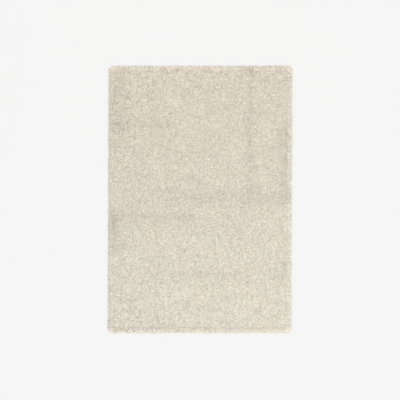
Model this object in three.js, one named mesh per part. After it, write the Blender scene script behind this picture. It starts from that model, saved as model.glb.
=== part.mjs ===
// Shag rug: a deep, soft pile rug lying flat on the floor. Millimetres, +Z up.
// The origin is the middle of the flat back. The rug's length runs along Y, its width along X.
//
// The pile is bound into its ground cloth, so the rug is one solid: a flat back, a lumpy crown of
// clumped pile, and a row of locks round the rim that lean out over the cloth's edge. The pile
// stands deep enough to hide the cloth from above.

import * as THREE from "three";

// The ground cloth, which is the rug's trimmed size.
const clothWidth = 1330;
const clothLength = 1950;

// The pile: its locks reach this far past the cloth, and its crown stands this high on average.
const rimReach = 15.5;
const crownHeight = 33;
const outlineCorner = 39;

// The rug is a little out of square: each point is shifted to +X by this share of its Y.
const outOfSquare = 0.0037;

// The crown: a lattice of clumps, with a peak in each cell and hollows at the cell's corners.
// Peaks stand this far above hollows on average. Both are uneven in height and shifted sideways.
const clumpsAcross = 28;
const clumpsAlong = 41;
const clumpRise = 7.5;
const clumpUnevenness = 3.2;
const hollowShift = 12;
const peakShift = 9.5;
const swellHeight = 1.3;
const swellLength = 620;

// The rim, each line given by how far it lies inside the outline and its height above the floor.
const crownLine = { inset: 45, height: 31.5 };
const upperRootLine = { inset: 23, height: 30 };
const lowerRootLine = { inset: 15, height: 15 };
const footLine = { inset: rimReach, height: 0 };

// The locks: two to each clump at the rim. Each leans out and droops through two sections, which
// are four-sided and go from an outer line down to an inner one. Locks differ by up to: how far
// they stop short of the outline, how much their heights and widths vary, and how far they sway.
const locksPerClump = 2;
const lockShareOfPitch = 0.76;
const lockSections = [
  { outer: { inset: 7, height: 25.5 }, inner: { inset: 11, height: 13 }, width: 17, sway: 1 / 3 },
  { outer: { inset: 0, height: 10.5 }, inner: { inset: 5, height: 6 }, width: 7.5, sway: 1 },
];
const lockShortfall = 4.5;
const lockLift = 1.8;
const lockWidthRange = 0.12;
const lockSway = 5;
const rootLift = 1.6;

// Troughs that folding and treading left in the pile, along straight lines, and a few rises
// between them, which have a depth below zero.
const creases = [
  { fromX: 367, fromY: 960, toX: 367, toY: 70, width: 30, depth: 3.2 },
  { fromX: 608, fromY: 500, toX: 608, toY: 60, width: 34, depth: 3.0 },
  { fromX: -230, fromY: 15, toX: 650, toY: 15, width: 62, depth: 3.0 },
  { fromX: -650, fromY: -130, toX: -95, toY: -130, width: 46, depth: 3.0 },
  { fromX: -640, fromY: -160, toX: -640, toY: -380, width: 46, depth: 2.8 },
  { fromX: -600, fromY: 880, toX: -600, toY: 440, width: 60, depth: 2.4 },
  { fromX: -640, fromY: 548, toX: -240, toY: 548, width: 34, depth: 2.4 },
  { fromX: -300, fromY: -556, toX: 650, toY: -556, width: 50, depth: 1.8 },
  { fromX: -207, fromY: 717, toX: -207, toY: 720, width: 36, depth: -2.2 },
  { fromX: -350, fromY: 330, toX: -320, toY: 160, width: 30, depth: -2.0 },
  { fromX: -640, fromY: -420, toX: -480, toY: -420, width: 46, depth: -1.6 },
  { fromX: -260, fromY: -700, toX: -120, toY: -700, width: 56, depth: -1.6 },
];

const rugWidth = clothWidth + 2 * rimReach;
const rugLength = clothLength + 2 * rimReach;
const rimClumps = 2 * (clumpsAcross + clumpsAlong);

// A repeatable run of numbers from -1 to 1, for the unevenness of the pile.
const pileSeed = 20;
THREE.MathUtils.seededRandom(pileSeed);
const uneven = () => 2 * THREE.MathUtils.seededRandom() - 1;

// One closed skin: a list of points and a list of triangles, with their outer sides anticlockwise.
const skinPoints = [];
const skinTriangles = [];

function addPoint(x, y, z) {
  skinPoints.push(x + outOfSquare * y, y, z);
  return skinPoints.length / 3 - 1;
}

// How deep the nearest creases are at a point: each fades smoothly with distance from its line.
function creaseDepth(x, y) {
  const point = new THREE.Vector3(x, y, 0);
  const nearest = new THREE.Vector3();
  let depth = 0;
  for (const crease of creases) {
    const line = new THREE.Line3(
      new THREE.Vector3(crease.fromX, crease.fromY, 0),
      new THREE.Vector3(crease.toX, crease.toY, 0),
    );
    line.closestPointToPoint(point, true, nearest);
    depth += crease.depth * Math.exp(-((point.distanceTo(nearest) / crease.width) ** 2));
  }
  return depth;
}

// The height of the pile's mean surface: a long, low swell less the creases.
function pileHeight(x, y) {
  const turn = (2 * Math.PI) / swellLength;
  const swell = swellHeight * Math.sin(turn * (x + 0.4 * y)) * Math.cos(turn * (y - 0.3 * x));
  return crownHeight + swell - creaseDepth(x, y);
}

// The crown's lattice of hollows. Those on its border lie exactly on the crown line.
const crownWidth = rugWidth - 2 * crownLine.inset;
const crownLength = rugLength - 2 * crownLine.inset;
const stepAcross = crownWidth / clumpsAcross;
const stepAlong = crownLength / clumpsAlong;
const hollows = [];

for (let row = 0; row <= clumpsAlong; row++) {
  hollows.push([]);
  for (let column = 0; column <= clumpsAcross; column++) {
    const atBorder = row % clumpsAlong === 0 || column % clumpsAcross === 0;
    const shift = atBorder ? 0 : hollowShift;
    const x = column * stepAcross - crownWidth / 2 + shift * uneven();
    const y = row * stepAlong - crownLength / 2 + shift * uneven();
    const height = atBorder ? crownLine.height : pileHeight(x, y) - clumpRise / 2;
    hollows[row].push(addPoint(x, y, height + clumpUnevenness * uneven()));
  }
}

// A clump is four triangles that meet at its peak.
for (let row = 0; row < clumpsAlong; row++) {
  for (let column = 0; column < clumpsAcross; column++) {
    const x = (column + 0.5) * stepAcross - crownWidth / 2 + peakShift * uneven();
    const y = (row + 0.5) * stepAlong - crownLength / 2 + peakShift * uneven();
    const peak = addPoint(x, y, pileHeight(x, y) + clumpRise / 2 + clumpUnevenness * uneven());
    const corners = [
      hollows[row][column],
      hollows[row][column + 1],
      hollows[row + 1][column + 1],
      hollows[row + 1][column],
    ];
    corners.forEach((corner, i) => {
      skinTriangles.push(corner, corners[(i + 1) % 4], peak);
    });
  }
}

// The crown's border, anticlockwise from its corner at -X, -Y.
const crownBorder = [
  ...hollows[0].slice(0, -1),
  ...hollows.slice(0, -1).map((line) => line.at(-1)),
  ...hollows.at(-1).slice(1).reverse(),
  ...hollows.slice(1).reverse().map((line) => line[0]),
];

// The outline: a rectangle with round corners, anticlockwise from the middle of the -X, -Y corner.
const cornerX = rugWidth / 2 - outlineCorner;
const cornerY = rugLength / 2 - outlineCorner;
const quarter = Math.PI / 2;
const outline = new THREE.Path();
outline.absarc(-cornerX, -cornerY, outlineCorner, 2.5 * quarter, 3 * quarter);
outline.absarc(cornerX, -cornerY, outlineCorner, 3 * quarter, 4 * quarter);
outline.absarc(cornerX, cornerY, outlineCorner, 0, quarter);
outline.absarc(-cornerX, cornerY, outlineCorner, quarter, 2 * quarter);
outline.absarc(-cornerX, -cornerY, outlineCorner, 2 * quarter, 2.5 * quarter);

// A point near the rim. Place counts rim clumps round the outline, so 1.5 is half way along the
// second one. Sway moves it along the outline.
function rimPoint(place, inset, height, sway = 0) {
  const share = (place / rimClumps + 1) % 1;
  const at = outline.getPointAt(share);
  const along = outline.getTangentAt(share);
  return new THREE.Vector3(
    at.x - along.y * inset + along.x * sway,
    at.y + along.x * inset + along.y * sway,
    height,
  );
}

function addRimPoint(place, line, lift = 0) {
  const { x, y, z } = rimPoint(place, line.inset, line.height + lift);
  return addPoint(x, y, z);
}

// Joins two rings of points, given as { place, index } in order round the rim, with a band of
// triangles. The inner ring lies higher or further in. Each step moves on to whichever ring's
// next point comes first.
function joinRings(inner, outer) {
  const placeOf = (ring, i) => ring[i % ring.length].place + (i >= ring.length ? rimClumps : 0);
  let i = 0;
  let o = 0;
  while (i < inner.length || o < outer.length) {
    const innerIndex = inner[i % inner.length].index;
    const outerIndex = outer[o % outer.length].index;
    const outerIsNext = placeOf(outer, o + 1) <= placeOf(inner, i + 1);
    if (o < outer.length && (outerIsNext || i === inner.length)) {
      o++;
      skinTriangles.push(innerIndex, outerIndex, outer[o % outer.length].index);
    } else {
      i++;
      skinTriangles.push(innerIndex, outerIndex, inner[i % inner.length].index);
    }
  }
}

// The sides of all locks, where their roots begin and end along the rim.
const lockPitch = 1 / locksPerClump;
const lockWidth = lockShareOfPitch * lockPitch;
const upperRoots = [];
const lowerRoots = [];

for (let lock = 0; lock < rimClumps * locksPerClump; lock++) {
  const starts = lock * lockPitch + (lockPitch - lockWidth) / 2;
  for (const place of [starts, starts + lockWidth]) {
    upperRoots.push({ place, index: addRimPoint(place, upperRootLine, rootLift * uneven()) });
    lowerRoots.push({ place, index: addRimPoint(place, lowerRootLine, rootLift * uneven()) });
  }
}

// A lock grows from four points of the rug's side, given from its upper left one round to its
// upper right one as seen from outside, through its sections to a blunt end.
function addLock(root, place) {
  const shortfall = lockShortfall * (0.5 + 0.5 * uneven());
  const lift = lockLift * uneven();
  const widen = 1 + lockWidthRange * uneven();
  const sway = lockSway * uneven();

  let last = root;
  for (const section of lockSections) {
    const middle = sway * section.sway;
    const half = (section.width * widen) / 2;
    const corner = (line, side) => {
      const inset = line.inset + shortfall * section.sway;
      const { x, y, z } = rimPoint(place, inset, line.height + lift, middle + side * half);
      return addPoint(x, y, z);
    };
    const ring = [
      corner(section.outer, -1),
      corner(section.inner, -1),
      corner(section.inner, 1),
      corner(section.outer, 1),
    ];
    last.forEach((from, i) => {
      const next = (i + 1) % 4;
      skinTriangles.push(from, last[next], ring[next], from, ring[next], ring[i]);
    });
    last = ring;
  }
  skinTriangles.push(last[0], last[1], last[2], last[0], last[2], last[3]);
}

// The rug's side between the root lines: a lock, then a plain gap, all the way round.
upperRoots.forEach((upper, i) => {
  const next = (i + 1) % upperRoots.length;
  const side = [upper.index, lowerRoots[i].index, lowerRoots[next].index, upperRoots[next].index];
  if (i % 2 === 0) {
    addLock(side, upper.place + lockWidth / 2);
  } else {
    skinTriangles.push(side[0], side[1], side[2], side[0], side[2], side[3]);
  }
});

// The foot, where the side meets the flat back.
const foot = [];
for (let place = 0; place < rimClumps; place++) {
  foot.push({ place, index: addRimPoint(place, footLine) });
}

joinRings(crownBorder.map((index, place) => ({ place, index })), upperRoots);
joinRings(lowerRoots, foot);

// The flat back faces down, so its triangles are turned over.
const backContour = foot.map(({ index }) => new THREE.Vector2().fromArray(skinPoints, 3 * index));
for (const [a, b, c] of THREE.ShapeUtils.triangulateShape(backContour, [])) {
  skinTriangles.push(foot[a].index, foot[c].index, foot[b].index);
}

const skin = new THREE.BufferGeometry();
skin.setAttribute("position", new THREE.Float32BufferAttribute(skinPoints, 3));
skin.setIndex(skinTriangles);
skin.computeVertexNormals();

const cream = new THREE.MeshStandardMaterial({ color: "#dad3c2", roughness: 0.95, metalness: 0 });
const rug = new THREE.Mesh(skin, cream);
rug.name = "shag_rug";

const part = new THREE.Group();
part.add(rug);

export default part;
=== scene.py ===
"""A shag rug, 133 x 195 cm across its ground cloth, lying flat on a pale floor."""

import math

import bpy
import numpy as np
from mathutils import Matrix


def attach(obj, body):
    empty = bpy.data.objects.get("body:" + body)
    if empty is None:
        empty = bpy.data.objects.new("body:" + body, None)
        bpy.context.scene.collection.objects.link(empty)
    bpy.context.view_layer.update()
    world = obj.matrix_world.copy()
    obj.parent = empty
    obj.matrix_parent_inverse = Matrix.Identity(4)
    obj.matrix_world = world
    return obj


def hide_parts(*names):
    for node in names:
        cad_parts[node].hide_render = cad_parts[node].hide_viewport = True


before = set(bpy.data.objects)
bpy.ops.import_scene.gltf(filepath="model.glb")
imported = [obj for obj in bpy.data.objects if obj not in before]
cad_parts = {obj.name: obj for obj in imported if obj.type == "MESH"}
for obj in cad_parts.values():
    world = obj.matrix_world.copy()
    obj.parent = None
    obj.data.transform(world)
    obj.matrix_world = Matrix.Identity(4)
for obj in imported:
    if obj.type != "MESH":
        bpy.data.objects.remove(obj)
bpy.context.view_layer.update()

# ---- Ground cloth ---------------------------------------------------------------------------
# The flat sheet that the whole pile is tufted through: flat plastic tapes in a plain weave, with
# a thin coat of latex that locks the yarn in. It is cut to 133 x 195 cm, with rounded corners.

CLOTH_WIDTH = 1.330
CLOTH_THICKNESS = 0.0022
CLOTH_STATIONS = 320
# The pile leans over the cloth's edge all round, which gives the rug's own outline.
RUG_WIDTH, RUG_LENGTH = 1.361, 1.981
RIM_REACH = (RUG_WIDTH - CLOTH_WIDTH) / 2
OUTLINE_CORNER = 0.039
# The rug lies a little out of square: its far end is shifted to +X by this share of its length.
OUT_OF_SQUARE = 0.0037
TAPE_PITCH = 0.0026
TAPE_DEPTH = 0.0004
# Where a tape dips under the other it is painted darker, towards the low colour: painted shade.
TAPE_LOW_PAINTED_SHADE = (0.42, 0.36, 0.26)
TAPE_HIGH = (0.66, 0.60, 0.48)
LATEX_STAIN_SCALE = 14.0
MATT_SPECULAR = 0.25
SHEEN_ROUGHNESS = 0.5


def out_of_square(points):
    """Points sheared as the rug is: each moves to +X by a share of how far along it lies."""
    points = np.array(points, np.float32)
    points[:, 0] += OUT_OF_SQUARE * points[:, 1]
    return points


def new_mesh(name, points, triangles, quads=()):
    """An object from whole arrays: points (n, 3), triangles (m, 3) and quads (k, 4), smooth."""
    points, triangles = np.asarray(points, np.float32), np.asarray(triangles, np.int32)
    quads = np.asarray(quads, np.int32).reshape(-1, 4)
    sizes = np.repeat([3, 4], [len(triangles), len(quads)]).astype(np.int32)
    corners = np.concatenate([triangles.ravel(), quads.ravel()])
    mesh = bpy.data.meshes.new(name)
    mesh.vertices.add(len(points))
    mesh.vertices.foreach_set("co", points.ravel())
    mesh.loops.add(len(corners))
    mesh.loops.foreach_set("vertex_index", corners)
    mesh.polygons.add(len(sizes))
    mesh.polygons.foreach_set("loop_start", np.concatenate([[0], np.cumsum(sizes)[:-1]]))
    mesh.polygons.foreach_set("loop_total", sizes)
    mesh.update(calc_edges=True)
    mesh.shade_smooth()
    mesh.validate()
    piece = bpy.data.objects.new(name, mesh)
    bpy.context.scene.collection.objects.link(piece)
    return piece


def fasten(piece):
    """Fixes a piece to the rug: it rides on it, and stands in for the rug's plain solid, which is
    hidden.
    """
    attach(piece, "root")
    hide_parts("shag_rug")


def outline_point(share, inset):
    """Points of the inset outline, these shares of the way round it, with the outward and the
    forward direction there. Each of four legs is a straight side and then a quarter turn."""
    side_x, side_y = RUG_WIDTH - 2 * OUTLINE_CORNER, RUG_LENGTH - 2 * OUTLINE_CORNER
    arc = OUTLINE_CORNER * math.pi / 2
    leg_starts = np.cumsum([0, side_x + arc, side_y + arc, side_x + arc, side_y + arc])
    way = (share % 1) * leg_starts[-1]
    leg = np.searchsorted(leg_starts, way, side="right") - 1
    done = way - leg_starts[leg]
    straight = np.minimum(done, np.array([side_x, side_y, side_x, side_y])[leg])
    heading = leg * math.pi / 2
    turned = heading + (done - straight) / OUTLINE_CORNER
    start = np.array([(-1, -1), (1, -1), (1, 1), (-1, 1)])[leg] * (side_x / 2, side_y / 2)
    along = np.stack([np.cos(heading), np.sin(heading)], axis=-1)
    forward = np.stack([np.cos(turned), np.sin(turned)], axis=-1)
    outward = np.stack([np.sin(turned), -np.cos(turned)], axis=-1)
    reach = np.asarray(OUTLINE_CORNER - inset)[..., None]
    return start + along * straight[..., None] + outward * reach, outward, forward


def closed_plate(name, inset, low, high, stations):
    """A flat closed plate with the rug's outline, inset: two fans joined by an upright edge."""
    ring, _, _ = outline_point(np.arange(stations) / stations, inset)
    flat = np.concatenate([ring, [[0, 0]]])
    points = np.concatenate(
        [np.insert(flat, 2, low, axis=1), np.insert(flat, 2, high, axis=1)]
    )
    here, following = np.arange(stations), (np.arange(stations) + 1) % stations
    pole = np.full(stations, stations)
    under = np.stack([pole, following, here], axis=-1)
    over = stations + 1 + under[:, ::-1]
    edge = np.stack([here, following, following + stations + 1, here + stations + 1], axis=-1)
    return new_mesh(name, out_of_square(points), np.concatenate([under, over]), edge)


def add_node(tree, kind, links=(), **values):
    """A shader node with its settings, and its inputs linked or set by name or number."""
    node = tree.nodes.new(kind)
    for key, value in values.items():
        setattr(node, key, value)
    for socket, source in dict(links).items():
        if isinstance(source, bpy.types.NodeSocket):
            tree.links.new(source, node.inputs[socket])
        else:
            node.inputs[socket].default_value = source
    return node


def new_material(name, roughness, sheen):
    """A matt cloth material. Its even values are set on the shader's own sockets."""
    material = bpy.data.materials.new(name)
    material.use_nodes = True
    shader = material.node_tree.nodes["Principled BSDF"]
    shader.inputs["Roughness"].default_value = roughness
    shader.inputs["Specular IOR Level"].default_value = MATT_SPECULAR
    shader.inputs["Sheen Weight"].default_value = sheen
    shader.inputs["Sheen Roughness"].default_value = SHEEN_ROUGHNESS
    return material, material.node_tree, shader


def woven_tapes_material():
    """Flat tapes over and under each other. The product of two waves, one across and one along,
    tells which tape is on top: it drives the colour, darker where a tape dips under as painted
    shade, with real stains of latex, and the bump."""
    material, tree, shader = new_material("woven_tapes", roughness=0.7, sheen=0.0)
    place = add_node(tree, "ShaderNodeTexCoord").outputs["Object"]
    parts = add_node(tree, "ShaderNodeSeparateXYZ", {0: place})
    waves = []
    for axis in ("X", "Y"):
        turn = add_node(
            tree, "ShaderNodeMath",
            {0: parts.outputs[axis], 1: math.pi / TAPE_PITCH}, operation="MULTIPLY",
        )
        waves.append(
            add_node(tree, "ShaderNodeMath", {0: turn.outputs[0]}, operation="SINE").outputs[0]
        )
    weave = add_node(tree, "ShaderNodeMath", {0: waves[0], 1: waves[1]}, operation="MULTIPLY")
    top = add_node(
        tree, "ShaderNodeMapRange",
        {"Value": weave.outputs[0], "From Min": -1.0, "From Max": 1.0},
    )
    stains = add_node(
        tree, "ShaderNodeTexNoise",
        {"Vector": place, "Scale": LATEX_STAIN_SCALE, "Detail": 3.0},
    )
    shade = add_node(
        tree, "ShaderNodeMath",
        {0: top.outputs[0], 1: stains.outputs["Fac"]}, operation="MULTIPLY",
    )
    colour = add_node(
        tree, "ShaderNodeMix",
        {"Factor": shade.outputs[0], "A": (*TAPE_LOW_PAINTED_SHADE, 1), "B": (*TAPE_HIGH, 1)},
        data_type="RGBA",
    )
    tree.links.new(colour.outputs["Result"], shader.inputs["Base Color"])
    bump = add_node(
        tree, "ShaderNodeBump",
        {"Height": weave.outputs[0], "Strength": 0.5, "Distance": TAPE_DEPTH},
    )
    tree.links.new(bump.outputs["Normal"], shader.inputs["Normal"])
    return material


ground_cloth = closed_plate("ground_cloth", RIM_REACH, 0.0, CLOTH_THICKNESS, CLOTH_STATIONS)
ground_cloth.data.shade_flat()
ground_cloth.data.materials.append(woven_tapes_material())
fasten(ground_cloth)

# ---- Dense foot of the pile -----------------------------------------------------------------
# The lower part of the cream yarns, which are tufted through the cloth so close together that
# they press into one springy bed. It is lumpy on top, and rounded down all round its rim.

# The mean height of the yarn tips, and how far below it the foot ends.
CROWN_HEIGHT = 0.033
FOOT_DEPTH = 0.0040
FOOT_INSET = 0.0085
FOOT_BRIM = 0.002
FOOT_LUMP = 0.0015
FOOT_LUMP_SIZE = 0.009
FOOT_COLUMNS, FOOT_ROWS = 130, 190
# How far inside the outline the rim parts from the field.
PARTING_INSET = 0.041
# One long low swell across and along the rug, each wave slanted by a share of the other way.
SWELL_HEIGHT = 0.0013
SWELL_LENGTH = 0.620
SWELL_SLANT_X, SWELL_SLANT_Y = 0.4, 0.3
# Straight shallow troughs that folding and treading left in the pile, and a few rises between
# them with a depth below zero: the two ends of each, its width and its depth.
CREASES = (
    ((0.367, 0.960), (0.367, 0.070), 0.030, 0.0032),
    ((0.608, 0.500), (0.608, 0.060), 0.034, 0.0030),
    ((-0.230, 0.015), (0.650, 0.015), 0.062, 0.0030),
    ((-0.650, -0.130), (-0.095, -0.130), 0.046, 0.0030),
    ((-0.640, -0.160), (-0.640, -0.380), 0.046, 0.0028),
    ((-0.600, 0.880), (-0.600, 0.440), 0.060, 0.0024),
    ((-0.640, 0.548), (-0.240, 0.548), 0.034, 0.0024),
    ((-0.300, -0.556), (0.650, -0.556), 0.050, 0.0018),
    ((-0.207, 0.717), (-0.207, 0.720), 0.036, -0.0022),
    ((-0.350, 0.330), (-0.320, 0.160), 0.030, -0.0020),
    ((-0.640, -0.420), (-0.480, -0.420), 0.046, -0.0016),
    ((-0.260, -0.700), (-0.120, -0.700), 0.056, -0.0016),
    ((-0.630, -0.953), (0.630, -0.953), 0.022, 0.0022),
)
# The lattices of random numbers cover a square that reaches this far each way.
NOISE_REACH = 1.2
# The packed yarn is a little darker than the locks' tips, painted shade deep in the pile, and the
# gap colour is painted shade in the low hollows of the matting.
PACKED_YARN = (0.700, 0.655, 0.560)
PACKED_GAP_PAINTED_SHADE = (0.430, 0.370, 0.275)
MAT_SIZE = 0.0036
MAT_DEPTH = 0.0015
FIBRE_SCALE = 900.0
FIBRE_DEPTH = 0.0005
FIBRE_SHADE = (0.94, 1.04)

dice = np.random.default_rng(seed=20)


def round_corners(x, y, inset):
    """Moves a rectangle's points to fit the rug's outline, inset. In each corner's square, a
    point keeps its direction from the arc's centre, and its distance becomes the larger of its
    two offsets, so that the square's two outer sides land on the arc."""
    radius = OUTLINE_CORNER - inset
    centre_x, centre_y = RUG_WIDTH / 2 - OUTLINE_CORNER, RUG_LENGTH / 2 - OUTLINE_CORNER
    across, along = np.abs(x) - centre_x, np.abs(y) - centre_y
    inside = (across > 0) & (along > 0) & (radius > 0)
    reach = np.hypot(across, along)
    shrink = np.where(inside, np.maximum(across, along) / np.maximum(reach, 1e-9), 1.0)
    return (
        np.where(inside, np.sign(x) * (centre_x + across * shrink), x),
        np.where(inside, np.sign(y) * (centre_y + along * shrink), y),
    )


def mound(name, inset, columns, rows, top_height, low):
    """A closed mound. Its top is a grid over the inset outline, at the heights that
    top_height(x, y) gives, and its sides run down to one flat face at height low."""
    half_x, half_y = RUG_WIDTH / 2 - inset, RUG_LENGTH / 2 - inset
    x, y = np.meshgrid(
        np.linspace(-half_x, half_x, columns + 1), np.linspace(-half_y, half_y, rows + 1)
    )
    x, y = round_corners(x, y, inset)
    top = np.stack([x, y, top_height(x, y)], axis=-1).reshape(-1, 3)
    index = np.arange(x.size).reshape(x.shape)
    quads = np.stack(
        [index[:-1, :-1], index[:-1, 1:], index[1:, 1:], index[1:, :-1]], axis=-1
    ).reshape(-1, 4)
    border = np.concatenate(
        [index[0, :-1], index[:-1, -1], index[-1, :0:-1], index[:0:-1, 0]]
    )
    below = x.size + np.arange(len(border))
    following = np.roll(below, -1)
    sides = np.stack([border, below, following, np.roll(border, -1)], axis=-1)
    fan = np.stack([below, np.full_like(below, x.size + len(border)), following], axis=-1)
    bottom = np.insert(top[border, :2], 2, low, axis=1)
    points = np.concatenate([top, bottom, [[0, 0, low]]])
    return new_mesh(name, out_of_square(points), fan, np.concatenate([quads, sides]))


def inset_of(x, y):
    """How far a point lies inside the rug's outline, and the outward direction there: the
    distance to a rectangle with round corners."""
    across = np.abs(x) - (RUG_WIDTH / 2 - OUTLINE_CORNER)
    along = np.abs(y) - (RUG_LENGTH / 2 - OUTLINE_CORNER)
    outer_x, outer_y = np.maximum(across, 0), np.maximum(along, 0)
    reach = np.hypot(outer_x, outer_y)
    inner = np.minimum(np.maximum(across, along), 0)
    in_corner = reach > 0
    direction_x = np.where(in_corner, outer_x / np.maximum(reach, 1e-9), across >= along)
    direction_y = np.where(in_corner, outer_y / np.maximum(reach, 1e-9), across < along)
    outward = np.stack([np.sign(x) * direction_x, np.sign(y) * direction_y], axis=-1)
    return OUTLINE_CORNER - reach - inner, outward


def crease_depth(x, y):
    """The depth of the creases at a point, all of them added up. Each is a straight trough: its
    depth is multiplied by e to the power of minus the square of the distance in widths."""
    depth = np.zeros_like(x)
    for start, end, width, deepest in CREASES:
        start, end = np.array(start), np.array(end)
        line = end - start
        share = ((x - start[0]) * line[0] + (y - start[1]) * line[1]) / (line @ line)
        share = np.clip(share, 0, 1)
        away = np.hypot(x - start[0] - share * line[0], y - start[1] - share * line[1])
        depth += deepest * np.exp(-((away / width) ** 2))
    return depth


def pile_height(x, y):
    """The mean height of the yarn tips inside the rim: the crown, plus a long low swell that is
    the product of two slanted waves, less the creases."""
    turn = 2 * math.pi / SWELL_LENGTH
    wave_x, wave_y = turn * (x + SWELL_SLANT_X * y), turn * (y - SWELL_SLANT_Y * x)
    swell = SWELL_HEIGHT * np.sin(wave_x) * np.cos(wave_y)
    return CROWN_HEIGHT + swell - crease_depth(x, y)


def soft_noise(x, y, size):
    """Smooth random values from -1 to 1: random numbers on a square lattice of this size, with
    a smooth step between neighbours."""
    steps = int(2 * NOISE_REACH / size) + 3
    lattice = dice.uniform(-1, 1, (steps, steps))
    u, v = (x + NOISE_REACH) / size, (y + NOISE_REACH) / size
    i, j = np.floor(u).astype(int), np.floor(v).astype(int)
    s, t = (part * part * (3 - 2 * part) for part in (u - i, v - j))
    low = lattice[j, i] * (1 - s) + lattice[j, i + 1] * s
    high = lattice[j + 1, i] * (1 - s) + lattice[j + 1, i + 1] * s
    return low * (1 - t) + high * t


def foot_height(x, y):
    """The top of the pile's dense foot: the pile's height less a depth, with lumps, brought
    down to a low brim round the rim by a quarter of an ellipse."""
    inset, _ = inset_of(x, y)
    share = np.clip((inset - FOOT_INSET) / (PARTING_INSET - FOOT_INSET), 0, 1)
    round_off = np.sqrt(1 - (1 - share) ** 2)
    lumps = FOOT_LUMP * soft_noise(x, y, FOOT_LUMP_SIZE)
    full = pile_height(x, y) - FOOT_DEPTH + lumps
    brim = CLOTH_THICKNESS + FOOT_BRIM
    return brim + (full - brim) * round_off


def add_sockets(group, direction, **kinds):
    """A node group's named inputs or outputs: Color, Float or Vector."""
    for name, kind in kinds.items():
        group.interface.new_socket(name, in_out=direction, socket_type="NodeSocket" + kind)
    kind = "NodeGroupInput" if direction == "INPUT" else "NodeGroupOutput"
    node = group.nodes.new(kind)
    return node.outputs if direction == "INPUT" else node.inputs


def fibre_group():
    """The node group that breaks a colour up into fine fibres: the colour is multiplied by
    Tone and by a speckle, which also gives the Roughness and the Height for a bump."""
    group = bpy.data.node_groups.new("fibres", "ShaderNodeTree")
    given = add_sockets(group, "INPUT", Base="Color", Tone="Float", Vector="Vector")
    results = add_sockets(group, "OUTPUT", Colour="Color", Roughness="Float", Height="Float")
    speckle = add_node(
        group, "ShaderNodeTexNoise",
        {"Vector": given["Vector"], "Scale": FIBRE_SCALE, "Detail": 2.0, "Roughness": 0.6},
    ).outputs["Fac"]
    light = add_node(
        group, "ShaderNodeMapRange",
        {"Value": speckle, "From Min": 0.3, "From Max": 0.7,
         "To Min": FIBRE_SHADE[0], "To Max": FIBRE_SHADE[1]},
    )
    shade = add_node(
        group, "ShaderNodeMath",
        {0: light.outputs[0], 1: given["Tone"]}, operation="MULTIPLY",
    )
    colour = add_node(
        group, "ShaderNodeVectorMath",
        {0: given["Base"], "Scale": shade.outputs[0]}, operation="SCALE",
    )
    rough = add_node(
        group, "ShaderNodeMapRange", {"Value": speckle, "To Min": 0.95, "To Max": 0.75}
    )
    group.links.new(colour.outputs[0], results["Colour"])
    group.links.new(rough.outputs[0], results["Roughness"])
    group.links.new(speckle, results["Height"])
    return group


def finish_yarn(tree, shader, base, tone, place, height, depth):
    """Leads a base colour and a tone through the fibres to the shader. A bump of the fibres
    lies over a bump of this height and depth."""
    fibres = tree.nodes.new("ShaderNodeGroup")
    fibres.node_tree = fibre_nodes
    for source, socket in ((base, "Base"), (tone, "Tone"), (place, "Vector")):
        tree.links.new(source, fibres.inputs[socket])
    tree.links.new(fibres.outputs["Colour"], shader.inputs["Base Color"])
    tree.links.new(fibres.outputs["Roughness"], shader.inputs["Roughness"])
    coarse = add_node(
        tree, "ShaderNodeBump", {"Height": height, "Strength": 0.8, "Distance": depth}
    )
    fine = add_node(
        tree, "ShaderNodeBump",
        {"Height": fibres.outputs["Height"], "Strength": 0.5, "Distance": FIBRE_DEPTH,
         "Normal": coarse.outputs[0]},
    )
    tree.links.new(fine.outputs["Normal"], shader.inputs["Normal"])


def packed_material():
    """Yarn pressed together and matted: mottled noise, with painted shade where it is low, where
    both the gap colour and a slightly lower tone are painted.
    """
    material, tree, shader = new_material("packed_yarn", roughness=0.95, sheen=0.0)
    place = add_node(tree, "ShaderNodeTexCoord").outputs["Object"]
    matting = add_node(
        tree, "ShaderNodeTexNoise",
        {"Vector": place, "Scale": 1 / MAT_SIZE, "Detail": 3.0, "Roughness": 0.65,
         "Distortion": 0.6},
    ).outputs["Fac"]
    crest = add_node(
        tree, "ShaderNodeMapRange", {"Value": matting, "From Min": 0.36, "From Max": 0.62}
    )
    base = add_node(
        tree, "ShaderNodeMix",
        {"Factor": crest.outputs[0], "A": (*PACKED_GAP_PAINTED_SHADE, 1), "B": (*PACKED_YARN, 1)},
        data_type="RGBA",
    )
    tone = add_node(
        tree, "ShaderNodeMapRange", {"Value": matting, "To Min": 0.95, "To Max": 1.05}
    )
    finish_yarn(
        tree, shader, base.outputs["Result"], tone.outputs[0], place, crest.outputs[0], MAT_DEPTH
    )
    return material


fibre_nodes = fibre_group()
pile_foot = mound(
    "pile_foot", FOOT_INSET, FOOT_COLUMNS, FOOT_ROWS, foot_height, CLOTH_THICKNESS
)
pile_foot.data.materials.append(packed_material())
fasten(pile_foot)

# ---- Field of the pile ----------------------------------------------------------------------
# Rows of soft, thick, loosely plied cream yarn over the whole rug inside its rim. Each is tufted
# through the cloth as a loop and then cut, so it tapers to a loose end, stands up out of the
# dense foot, and flops over its neighbours in whatever direction the last foot or hand left it.

ROW_PITCH = 0.00755
FIELD_PIECES = 4
FIELD_LUMP = 0.0006
FIELD_LUMP_SIZE = 0.012
# A lock's points from its root to its tip: the share of its reach, how far it lies below the
# pile's height, from the least to the most, and the share of its sideways bend.
FIELD_LOCK = (
    (0.00, 0.015, 0.017, 0.00),
    (0.10, 0.004, 0.008, 0.00),
    (0.46, -0.002, 0.003, 0.25),
    (0.87, 0.000, 0.006, 0.75),
    (1.00, 0.002, 0.008, 1.00),
)
SHORTEST_REACH, LONGEST_REACH = 0.014, 0.027
LOCK_BEND = 0.35
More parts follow.
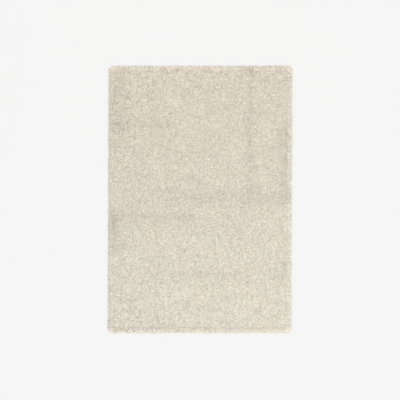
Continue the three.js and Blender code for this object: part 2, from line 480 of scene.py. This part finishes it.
# The usual width of a lock, the shares of it that the thinnest and the thickest have, and the
# share of its own width that a lock has at each ring.
LOCK_WIDTH = 0.0062
THINNEST_LOCK, THICKEST_LOCK = 0.8, 1.2
FIELD_WIDTHS = (0.80, 1.0, 0.78)
# A lock spreads a little flat over the pile, and rolls by up to this angle each way.
LOCK_SIDES = 3
LOCK_SPREAD, LOCK_FLATNESS = 1.3, 0.85
LOCK_ROLL = 0.45
# In a band of this width beside the parting, the locks lean inwards, and less in any other way.
PARTING_BAND = 0.012
PARTING_LEAN = 0.8
PARTING_CALM = 0.5
# The root colour is painted shade: the yarn is one cream all through, and it is drawn darker
# towards its root, where it lies deep in the pile.
YARN_ROOT_PAINTED_SHADE = (0.490, 0.433, 0.328)
YARN_TIP = (0.846, 0.829, 0.749)
PLIES = 3
PLY_TURNS = 6.0
PLY_DEPTH = 0.00025
# Between the plies the yarn is painted darker, down to this share: painted shade.
PLY_GROOVE_PAINTED_SHADE = 0.80
STRAND_STRETCH = (0.040, 0.008, 0.0)
# Each lock's own brightness, which differs at random, how far a dull one goes to the root's
# painted shade colour, and how much painted shade darkens it for each metre of a trough's depth.
# A rise, with a depth below zero, gets painted light instead.
TONE_SPREAD, LEAST_TONE, MOST_TONE = 0.076, 0.76, 1.10
TONE_WARMTH = 1.0
CREASE_PAINTED_LIGHT_AND_SHADE = 15
# Each lock has a square of its own in the flat map for baking, with this margin.
MAP_MARGIN = 0.08


def lock_material():
    """Cream yarn that goes from a dark root colour, painted shade deep in the pile, to the tip
    colour along its map, times the lock's own tone. A dull lock keeps nearer to the root's
    painted shade. The plies wind round it: a wave over the turns round the yarn plus the turns
    along it, with painted shade between the plies."""
    material, tree, shader = new_material("cream_yarn", roughness=0.85, sheen=0.25)
    places = add_node(tree, "ShaderNodeUVMap", uv_map="yarn")
    parts = add_node(tree, "ShaderNodeSeparateXYZ", {0: places.outputs["UV"]})
    tone = add_node(tree, "ShaderNodeAttribute", attribute_name="tone")
    strands = add_node(
        tree, "ShaderNodeVectorMath",
        {0: places.outputs["UV"], 1: STRAND_STRETCH, 2: tone.outputs["Vector"]},
        operation="MULTIPLY_ADD",
    )
    gain = add_node(
        tree, "ShaderNodeMath", {0: tone.outputs["Fac"], 1: 1.0}, operation="SUBTRACT"
    )
    paleness = add_node(
        tree, "ShaderNodeMath",
        {0: gain.outputs[0], 1: TONE_WARMTH, 2: parts.outputs["Y"]}, operation="MULTIPLY_ADD",
    )
    base = add_node(
        tree, "ShaderNodeMix",
        {"Factor": paleness.outputs[0], "A": (*YARN_ROOT_PAINTED_SHADE, 1), "B": (*YARN_TIP, 1)},
        data_type="RGBA",
    )
    climb = add_node(
        tree, "ShaderNodeMath",
        {0: parts.outputs["Y"], 1: PLY_TURNS * 2 * math.pi}, operation="MULTIPLY",
    )
    wind = add_node(
        tree, "ShaderNodeMath",
        {0: parts.outputs["X"], 1: PLIES * 2 * math.pi, 2: climb.outputs[0]},
        operation="MULTIPLY_ADD",
    )
    plies = add_node(tree, "ShaderNodeMath", {0: wind.outputs[0]}, operation="SINE")
    # Painted shade between the plies: the colour drops where the wave is low.
    painted_ply_shade = add_node(
        tree, "ShaderNodeMapRange",
        {"Value": plies.outputs[0], "From Min": -1.0, "From Max": 0.4, "To Min": PLY_GROOVE_PAINTED_SHADE,
         "To Max": 1.0},
    )
    shade = add_node(
        tree, "ShaderNodeMath",
        {0: painted_ply_shade.outputs[0], 1: tone.outputs["Fac"]}, operation="MULTIPLY",
    )
    finish_yarn(
        tree, shader, base.outputs["Result"], shade.outputs[0], strands.outputs[0],
        plies.outputs[0], PLY_DEPTH,
    )
    return material


def lock_sides(rings):
    """The faces of one lock, by point: a pole at the root, rings of LOCK_SIDES points, and a
    pole at the tip. Gives the triangles and quads, each with its corners' places in a flat map
    of the lock, where u runs round it and v from root to tip."""
    corner = np.arange(LOCK_SIDES)
    following = (corner + 1) % LOCK_SIDES
    tip = rings * LOCK_SIDES + 1
    last = tip - LOCK_SIDES
    triangles = np.concatenate(
        [
            np.stack([np.zeros_like(corner), 1 + following, 1 + corner], axis=-1),
            np.stack([np.full_like(corner, tip), last + corner, last + following], axis=-1),
        ]
    )
    low = 1 + np.arange(rings - 1)[:, None] * LOCK_SIDES
    quads = np.stack(
        [low + corner, low + following, low + following + LOCK_SIDES, low + corner + LOCK_SIDES],
        axis=-1,
    )
    u = np.stack([corner, corner + 1, corner + 1, corner], axis=-1) / LOCK_SIDES
    v = (np.arange(rings - 1)[:, None] + [1, 1, 2, 2]) / (rings + 1)
    quad_map = np.stack(
        [np.tile(u, (rings - 1, 1, 1)), np.repeat(v[:, None], LOCK_SIDES, axis=1)], axis=-1
    )
    middle = (corner + 0.5) / LOCK_SIDES
    first, end = np.ones(LOCK_SIDES) / (rings + 1), np.ones(LOCK_SIDES) * rings / (rings + 1)
    root_map = np.stack([[middle, 0 * first], [u[:, 1], first], [u[:, 0], first]])
    tip_map = np.stack([[middle, 0 * end + 1], [u[:, 0], end], [u[:, 1], end]])
    triangle_map = np.concatenate([root_map, tip_map], axis=2).transpose(2, 0, 1)
    places = np.concatenate([triangle_map.reshape(-1, 2), quad_map.reshape(-1, 2)])
    return triangles, quads.reshape(-1, 4), places


def yarn_locks(name, spines, widths, tone, roll):
    """Many locks in one mesh. spines (n, k, 3) are the points that each lock follows from its
    root to its tip, and widths (n, k - 2) its width at those between. Round each of these stands
    a ring square to the spine, turned by roll (n), and the sides meet in one point at the root
    and at the tip. Stores the lock's tone (n), and two maps: one that runs round and along the
    yarn, and one that gives each lock a square of its own."""
    count, steps = spines.shape[:2]
    run = spines[:, 2:] - spines[:, :-2]
    run /= np.linalg.norm(run, axis=2, keepdims=True)
    lean = spines[:, -1] - spines[:, 0]
    level = np.stack([-lean[:, 1], lean[:, 0], np.zeros(count)], axis=-1)[:, None]
    side = level - run * np.sum(level * run, axis=2, keepdims=True)
    side /= np.linalg.norm(side, axis=2, keepdims=True)
    turn = roll[:, None, None, None] + np.arange(LOCK_SIDES)[:, None] * 2 * math.pi / LOCK_SIDES
    ring = side[:, :, None] * np.cos(turn) * LOCK_SPREAD
    ring = ring + np.cross(run, side)[:, :, None] * np.sin(turn) * LOCK_FLATNESS
    around = spines[:, 1:-1, None] + ring * widths[:, :, None, None] / 2
    points = np.concatenate(
        [spines[:, :1], around.reshape(count, -1, 3), spines[:, -1:]], axis=1
    )
    triangles, quads, places = lock_sides(steps - 2)
    first = np.arange(count)[:, None, None] * points.shape[1]
    piece = new_mesh(
        name, out_of_square(points.reshape(-1, 3)), (first + triangles).reshape(-1, 3),
        (first + quads).reshape(-1, 4),
    )
    stored = piece.data.attributes.new("tone", "FLOAT", "POINT")
    stored.data.foreach_set("value", np.repeat(tone, points.shape[1]).astype(np.float32))
    squares = math.ceil(math.sqrt(count))
    square = np.stack(np.divmod(np.arange(count), squares), axis=-1)[:, None, :]
    inner = (square + MAP_MARGIN + (1 - 2 * MAP_MARGIN) * places) / squares
    corners = triangles.size
    for map_name, spots in (("yarn", np.tile(places, (count, 1, 1))), ("OFBake", inner)):
        spots = np.concatenate([spots[:, :corners].reshape(-1), spots[:, corners:].reshape(-1)])
        piece.data.uv_layers.new(name=map_name).data.foreach_set("uv", spots.astype(np.float32))
    piece.data.materials.append(cream_yarn)
    fasten(piece)
    return piece


def tufted_rows(pitch):
    """Root points inside the rim, in rows this far apart, with each moved a little at random.
    Gives x, y, how far inside the outline they lie, and the outward direction there."""
    columns, rows = int(RUG_WIDTH / pitch), int(RUG_LENGTH / pitch)
    x, y = np.meshgrid(
        ((np.arange(columns) + 0.5) / columns - 0.5) * RUG_WIDTH,
        ((np.arange(rows) + 0.5) / rows - 0.5) * RUG_LENGTH,
    )
    x, y = (values + dice.uniform(-0.5, 0.5, x.shape) * pitch for values in (x, y))
    inset, outward = inset_of(x, y)
    kept = inset > PARTING_INSET
    return x[kept], y[kept], inset[kept], outward[kept]


def lock_widths(count, shares):
    """Each lock's width at its rings: its own width times each ring's share."""
    own = LOCK_WIDTH * dice.uniform(THINNEST_LOCK, THICKEST_LOCK, (count, 1))
    return own * np.array([shares])


def lock_tones(spines):
    """Each lock's brightness: its own, which differs at random, less painted shade in a trough,
    where the yarn lies down and its shaded sides show, and more painted light on a rise."""
    own = np.clip(dice.normal(1.0, TONE_SPREAD, len(spines)), LEAST_TONE, MOST_TONE)
    return own - CREASE_PAINTED_LIGHT_AND_SHADE * crease_depth(*spines[:, 2, :2].T)


def lock_rolls(count):
    """The angle of each lock's first side round its spine: a quarter turn, more or less."""
    return math.pi / 2 + dice.uniform(-LOCK_ROLL, LOCK_ROLL, count)


x, y, inset, outward = tufted_rows(ROW_PITCH)
heading = dice.uniform(0, 2 * math.pi, len(x))
lean = np.stack([np.cos(heading), np.sin(heading)], axis=-1)
inwards = np.clip(1 - (inset - PARTING_INSET) / PARTING_BAND, 0, 1)[:, None]
lean = lean * (1 - PARTING_CALM * inwards) - outward * PARTING_LEAN * inwards
lean *= dice.uniform(SHORTEST_REACH, LONGEST_REACH, len(x))[:, None]
tips = pile_height(x, y) + FIELD_LUMP * soft_noise(x, y, FIELD_LUMP_SIZE)
bend = np.stack([-lean[:, 1], lean[:, 0]], axis=-1)
bend = bend * dice.uniform(-LOCK_BEND, LOCK_BEND, (len(x), 1))


def field_point(share, least, most, bend_share):
    """A point of every lock: these shares of its lean and its bend away from its root, and
    between least and most below the pile's height."""
    flat = np.column_stack([x, y]) + lean * share + bend * bend_share
    return np.column_stack([flat, tips - dice.uniform(least, most, len(x))])


cream_yarn = lock_material()
field_spines = np.stack([field_point(*row) for row in FIELD_LOCK], axis=1)
for number in range(FIELD_PIECES):
    spines = field_spines[number::FIELD_PIECES]
    widths = lock_widths(len(spines), FIELD_WIDTHS)
    tones = lock_tones(spines)
    rolls = lock_rolls(len(spines))
    yarn_locks(f"field_locks_{number + 1}", spines, widths, tones, rolls)

# ---- Rim of the pile ------------------------------------------------------------------------
# The outermost rows of the same yarn, tufted along the cloth's edge. They have no neighbours to
# lean on, so they part from the field and hang over the edge, the last almost to the floor.

RIM_TOP, RIM_FOOT = 0.032, 0.007
RIM_FULLNESS = 0.8
RIM_PITCH = 0.0048
RIM_LAYERS = 6
# Where on the shoulder the innermost tips lie, and how far round it the others go, in degrees.
RIM_START, RIM_SPAN = 8, 92
RIM_SWAY = 0.005
RIM_LIFT = 0.0020
RIM_WAVE = 0.0022
RIM_WAVE_SIZE = 0.036
RIM_LOWEST = 0.0012
# A rim lock's points from its root to its tip: how many degrees of the shoulder it lies back
# from its tip, how far it is sunk below the surface, and its share of the sway along the rim.
RIM_LOCK = (
    (46, 0.015, 0.0),
    (28, 0.006, 0.2),
    (15, 0.002, 0.5),
    (2.6, 0.002, 0.93),
    (0, 0.0032, 1.0),
)
RIM_WIDTHS = (0.80, 1.0, 0.84)
# The locks are painted brighter towards the outermost, as painted light where fewer neighbours
# shade them.
RIM_PAINTED_LIGHT, RIM_PAINTED_LIGHT_GAIN = 0.98, 0.12


def rim_profile(angle):
    """The rounded shoulder, as inset and height: a quarter of an ellipse from the parting over
    the edge, a little fuller than round, with angle 0 at the parting and 90 degrees outermost."""
    flat = np.clip(np.cos(angle), 0, 1) ** RIM_FULLNESS + np.clip(np.cos(angle), -1, 0)
    return PARTING_INSET * (1 - np.sin(angle)), RIM_FOOT + (RIM_TOP - RIM_FOOT) * flat


# The way round: two widths and two lengths, with each corner's two radii made a quarter turn.
perimeter = 2 * (RUG_WIDTH + RUG_LENGTH) - (8 - 2 * math.pi) * OUTLINE_CORNER
places = int(perimeter / RIM_PITCH)
place, layer = np.meshgrid(np.arange(places), np.arange(RIM_LAYERS))
share = ((place + dice.uniform(-0.5, 0.5, place.shape)) / places).ravel()
span = RIM_SPAN * (layer + dice.uniform(0, 1, layer.shape)) / RIM_LAYERS
angle = np.radians(RIM_START + span).ravel()
count = len(share)
sway = dice.uniform(-RIM_SWAY, RIM_SWAY, count)
lift = dice.uniform(0.0, RIM_LIFT, count)
on_line, _, _ = outline_point(share, 0.0)
lift += RIM_WAVE * soft_noise(on_line[:, 0], on_line[:, 1], RIM_WAVE_SIZE)


def rim_point(back, sink, sway_share):
    """A point of every lock on the shoulder: this many degrees back from its tip, sunk below
    the surface less the lock's lift, and moved along the rim by this share of its sway."""
    at = np.maximum(angle - np.radians(back), 0)
    inset, height = rim_profile(at)
    inset = inset + (sink - lift) * np.sin(at)
    height = height - (sink - lift) * np.cos(at)
    flat, _, forward = outline_point(share, inset)
    flat = flat + forward * (sway * sway_share)[:, None]
    return np.column_stack([flat, np.maximum(height, RIM_LOWEST)])


rim_spines = np.stack([rim_point(*row) for row in RIM_LOCK], axis=1)
widths = lock_widths(count, RIM_WIDTHS)
# Painted light on the rim: the tones rise with each lock's angle round the shoulder.
tones = lock_tones(rim_spines) * (RIM_PAINTED_LIGHT + RIM_PAINTED_LIGHT_GAIN * (angle / (math.pi / 2)) ** 2)
rolls = lock_rolls(count)
yarn_locks("rim_locks", rim_spines, widths, tones, rolls)

# ---- Floor, light and camera ----------------------------------------------------------------
# A pale matt studio floor that gives off most of its own brightness, so that it takes hardly any
# shadow, under wide soft lamps that are aimed at the rug. The camera looks straight down.

FLOOR_REACH = 15
# The floor lies this far below the cloth, so that the two faces don't share one place.
FLOOR_DROP = 0.0004
FLOOR_COLOUR = (0.04, 0.04, 0.04)
FLOOR_GLOW = 0.855
SKY_COLOUR = (0.92, 0.92, 0.92)
SKY_STRENGTH = 1.15
# Each lamp's name, spot, size, power and colour: a large one overhead, a key from +X, a fill low
# over the near end, one low behind the far end, and a small warm one over the far end.
LAMPS = (
    ("overhead", (0.0, -2.5, 5.2), 3.0, 104, (1.0, 1.0, 1.0)),
    ("key", (6.0, -1.3, 5.5), 3.0, 145, (1.0, 1.0, 1.0)),
    ("fill", (0.5, -1.9, 2.4), 2.0, 15, (1.0, 1.0, 1.0)),
    ("back", (-0.4, 4.0, 1.5), 2.0, 32, (1.0, 0.90, 0.81)),
    ("warm", (-0.1, 1.35, 0.9), 1.8, 1.9, (1.0, 0.35, 0.10)),
)
# How many pixels wide the picture and the rug in it are, and the pixel at the rug's centre.
FRAME_PIXELS = 400
RUG_PIXELS = 183.8
RUG_CENTRE_PIXEL = (200.08, 199.4)
PIXEL_SIZE = RUG_WIDTH / RUG_PIXELS
CAMERA_HEIGHT = 8.2
SENSOR_WIDTH = 36

# The floor is drawn out of square too, which makes no difference to a plain floor.
floor_corners = FLOOR_REACH * np.array([(-1, -1, 0), (1, -1, 0), (1, 1, 0), (-1, 1, 0)])
floor = new_mesh("floor", out_of_square(floor_corners), np.empty((0, 3)), [(0, 1, 2, 3)])
floor.location.z = -FLOOR_DROP
floor_paint = bpy.data.materials.new("floor_paint")
floor_paint.use_nodes = True
shader = floor_paint.node_tree.nodes["Principled BSDF"]
shader.inputs["Base Color"].default_value = (*FLOOR_COLOUR, 1)
shader.inputs["Roughness"].default_value = 1.0
shader.inputs["Specular IOR Level"].default_value = 0.0
shader.inputs["Emission Color"].default_value = (1, 1, 1, 1)
shader.inputs["Emission Strength"].default_value = FLOOR_GLOW
floor.data.materials.append(floor_paint)

world = bpy.data.worlds.new("studio")
bpy.context.scene.world = world
world.use_nodes = True
sky = world.node_tree.nodes["Background"]
sky.inputs["Color"].default_value = (*SKY_COLOUR, 1)
sky.inputs["Strength"].default_value = SKY_STRENGTH

for name, spot, size, power, colour in LAMPS:
    lamp = bpy.data.lights.new(name, "AREA")
    lamp.color = colour
    lamp.size = size
    lamp.energy = power
    lamp_object = bpy.data.objects.new(name, lamp)
    lamp_object.location = spot
    lamp_object.visible_camera = False
    lamp_object.rotation_euler = lamp_object.location.to_track_quat("Z", "Y").to_euler()
    bpy.context.scene.collection.objects.link(lamp_object)

lens = bpy.data.cameras.new("camera")
lens.sensor_width = SENSOR_WIDTH
lens.lens = SENSOR_WIDTH * CAMERA_HEIGHT / (FRAME_PIXELS * PIXEL_SIZE)
camera = bpy.data.objects.new("camera", lens)
camera.location = (
    (FRAME_PIXELS / 2 - RUG_CENTRE_PIXEL[0]) * PIXEL_SIZE,
    (RUG_CENTRE_PIXEL[1] - FRAME_PIXELS / 2) * PIXEL_SIZE,
    CAMERA_HEIGHT,
)
bpy.context.scene.collection.objects.link(camera)
bpy.context.scene.camera = camera
bpy.context.scene.view_settings.view_transform = "Standard"
